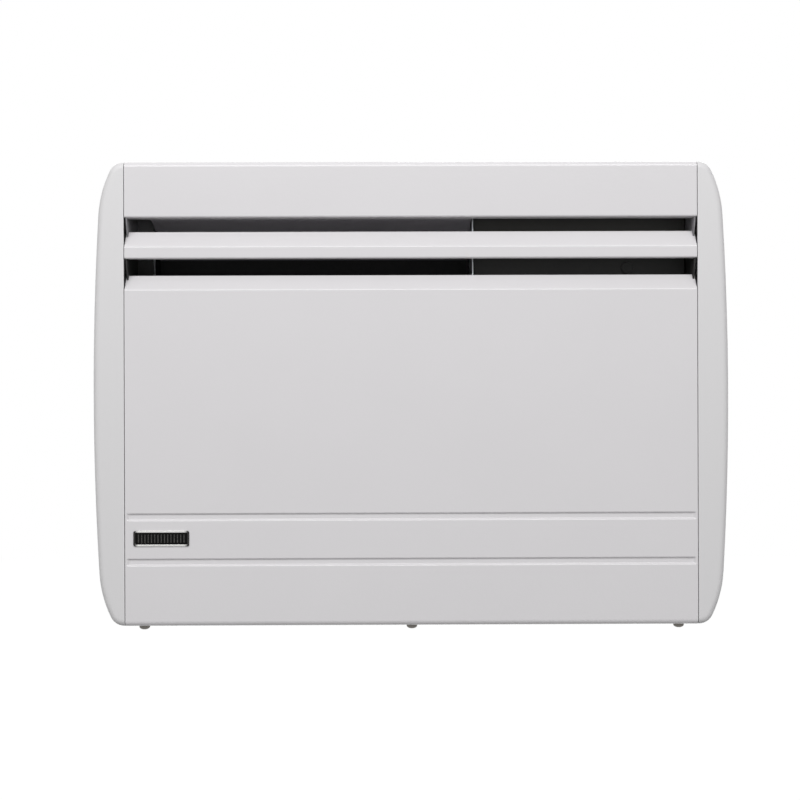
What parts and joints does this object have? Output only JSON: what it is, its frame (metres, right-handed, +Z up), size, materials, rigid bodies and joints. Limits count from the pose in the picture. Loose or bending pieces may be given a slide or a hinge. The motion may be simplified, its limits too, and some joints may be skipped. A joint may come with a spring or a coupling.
{
  "type": "wall panel convector heater",
  "caption": "Slim wall-hung electric convector: folded steel panel and hood, rounded plastic end caps, louvered front outlets, finned element, top controls and a wall bracket with latches.",
  "frame": {"origin": "on the wall, in the middle of the wall bracket's four screw holes, which is at half the casing's height and width", "axes": "+X to the right seen from the front, +Y into the wall, +Z up; the front faces -Y"},
  "size_m": [0.6174, 0.1212, 0.4549],
  "materials": {
    "casing_paint": "satin polyester powder coat on folded steel",
    "cap_plastic": "moulded ABS in the casing's grey-white, satin",
    "badge_metal": "polished zinc casting",
    "badge_black": "black lacquer",
    "galvanised_steel": "zinc-coated sheet, faint spangle",
    "dark_steel": "dark grey heat-resistant lacquer",
    "rail_steel": "zinc-plated sheet",
    "zinc_screws": "bright zinc plate",
    "latch_steel": "black zinc plate",
    "fin_aluminium": "mill finish",
    "sheath_steel": "stainless, straw tint from heat",
    "ceramic": "fired steatite",
    "control_black": "moulded, fine texture",
    "thermostat_case": "phenolic",
    "dial_white": "moulded, satin",
    "spindle_metal": "turned",
    "rocker_black": "moulded, satin gloss",
    "lamp_lens": "clear amber-red lens",
    "sensor_copper": "drawn copper",
    "block_plastic": "moulded nylon",
    "block_brass": "turned brass",
    "gland_plastic": "moulded nylon",
    "brown_insulation": "silicone sleeving",
    "blue_insulation": "silicone sleeving",
    "earth_insulation": "green and yellow sleeving"
  },
  "bodies": {
    "heater": {"front_panel": "casing_paint", "top_hood": "casing_paint", "louver_blade": "casing_paint", "left_end_cap": "cap_plastic", "right_end_cap": "cap_plastic", "badge_frame": "badge_metal", "badge_inset": "badge_black", "back_panel": "galvanised_steel", "base_grille": "galvanised_steel", "left_element_bracket": "galvanised_steel", "right_element_bracket": "galvanised_steel", "partition_plate": "galvanised_steel", "left_side_plate": "galvanised_steel", "right_side_plate": "galvanised_steel", "left_louver_bracket": "dark_steel", "right_louver_bracket": "dark_steel", "compartment_shield": "dark_steel", "heat_shield": "dark_steel", "air_guide": "dark_steel", "bracket_upper_rail": "rail_steel", "bracket_lower_rail": "rail_steel", "left_bracket_strap": "rail_steel", "right_bracket_strap": "rail_steel", "latch_ears": "rail_steel", "casing_screws": "zinc_screws", "clip_nuts": "zinc_screws", "end_cap_screws": "zinc_screws", "back_panel_screws": "zinc_screws", "interior_screws": "zinc_screws", "rivets": "zinc_screws", "earth_stud": "zinc_screws", "element_body": "fin_aluminium", "element_sheath": "sheath_steel", "element_pins": "sheath_steel", "sensor_clips": "sheath_steel", "element_collars": "ceramic", "element_bushes": "ceramic", "control_fascia": "control_black", "switch_body": "control_black", "thermal_cutout": "control_black", "thermostat_body": "thermostat_case", "earth_nut": "spindle_metal", "pilot_lamp": "lamp_lens", "sensor_bulb": "sensor_copper", "sensor_capillary": "sensor_copper", "terminal_block": "block_plastic", "terminal_screws": "block_brass", "cable_gland": "gland_plastic", "gland_locknut": "gland_plastic", "live_lead": "brown_insulation", "switched_lead": "brown_insulation", "thermostat_lead": "brown_insulation", "element_lead": "brown_insulation", "neutral_lead": "blue_insulation", "earth_lead": "earth_insulation"},
    "dial": {"thermostat_dial": "dial_white", "thermostat_spindle": "spindle_metal"},
    "rocker": {"power_rocker": "rocker_black"},
    "left_latch": {"left_latch_bolt": "latch_steel"},
    "right_latch": {"right_latch_bolt": "latch_steel"}
  },
  "joints": [
    {"name": "thermostat_turn", "type": "hinge", "parent": "heater", "child": "dial", "pos_m": [0.155, -0.057, 0.214], "axis": [0, 0, -1], "range_deg": [0, 270]},
    {"name": "rocker_tilt", "type": "hinge", "parent": "heater", "child": "rocker", "pos_m": [0.207, -0.057, 0.2142], "axis": [0, 1, 0], "range_deg": [0, 20]},
    {"name": "left_latch_slide", "type": "slide", "parent": "heater", "child": "left_latch", "axis": [0, 0, 1], "range_m": [-0.01, 0]},
    {"name": "right_latch_slide", "type": "slide", "parent": "heater", "child": "right_latch", "axis": [0, 0, 1], "range_m": [-0.01, 0]}
  ]
}
